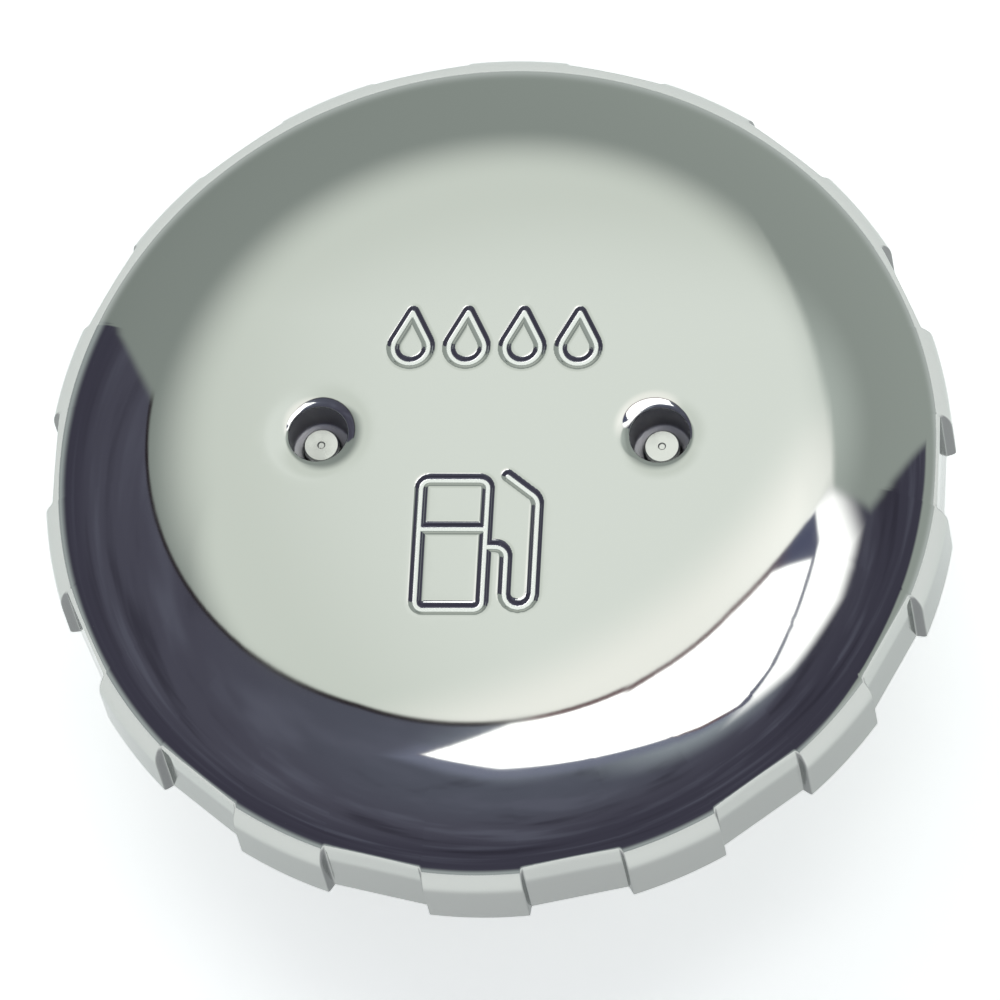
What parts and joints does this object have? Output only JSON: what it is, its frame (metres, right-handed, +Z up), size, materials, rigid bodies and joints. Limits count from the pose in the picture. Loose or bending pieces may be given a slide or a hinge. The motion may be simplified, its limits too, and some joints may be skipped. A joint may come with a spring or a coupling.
{
  "type": "deck fill cap",
  "caption": "Domed, castellated stainless deck fill cap with two key holes, on a threaded, vented plug that it turns through a ratchet.",
  "frame": {"origin": "middle of the plug's bottom rim, on the axis that every turned piece shares", "axes": "+Z up the axis, out through the cover's crown; +X runs from the left key hole to the right one, and +Y is the top of the marked face"},
  "size_m": [0.076, 0.0764, 0.0364],
  "materials": {
    "polished_stainless": "mirror-polished stainless steel, not plated",
    "fastener_steel": "plain stainless screws and washers",
    "spring_steel": "drawn spring wire and stamped spring strip",
    "plug_nylon": "black glass-filled nylon, moulded",
    "ratchet_acetal": "natural acetal, moulded",
    "valve_acetal": "dark grey acetal, moulded",
    "seal_rubber": "black fuel-resistant rubber"
  },
  "bodies": {
    "plug": {"closure_body": "plug_nylon", "seal_ring": "seal_rubber", "pawl_ring": "valve_acetal", "pawl_ring_screw_1": "fastener_steel", "pawl_ring_screw_2": "fastener_steel", "pawl_ring_screw_3": "fastener_steel", "thrust_washer": "ratchet_acetal", "wave_spring": "spring_steel", "retaining_ring": "spring_steel", "valve_cage": "valve_acetal", "pressure_spring": "spring_steel", "tether_screw": "fastener_steel", "tether_washer": "fastener_steel"},
    "cover": {"cover_shell": "polished_stainless", "cover_screw_left": "fastener_steel", "cover_screw_right": "fastener_steel", "drive_ring": "ratchet_acetal"},
    "pressure_valve": {"pressure_valve_plate": "valve_acetal", "pressure_valve_seal": "seal_rubber", "vacuum_spring": "spring_steel"},
    "vacuum_valve": {"vacuum_valve": "valve_acetal", "vacuum_seal": "seal_rubber", "vacuum_clip": "spring_steel"},
    "tether": {"tether_swivel": "fastener_steel"}
  },
  "joints": [
    {"name": "cover_turn", "type": "hinge", "parent": "plug", "child": "cover", "pos_m": [0, 0, 0.03], "axis": [0, 0, 1], "range_deg": [-270, 0]},
    {"name": "pressure_valve_lift", "type": "slide", "parent": "plug", "child": "pressure_valve", "axis": [0, 0, 1], "range_m": [0, 0.002], "stiffness_N_per_m": 900, "springref_m": -0.002, "deforming": ["pressure_spring"]},
    {"name": "vacuum_valve_drop", "type": "slide", "parent": "pressure_valve", "child": "vacuum_valve", "axis": [0, 0, -1], "range_m": [0, 0.001], "stiffness_N_per_m": 150, "springref_m": -0.001, "deforming": ["vacuum_spring"]},
    {"name": "tether_turn", "type": "hinge", "parent": "plug", "child": "tether", "pos_m": [0, 0, 0.003], "axis": [0, 0, 1], "continuous": true}
  ]
}
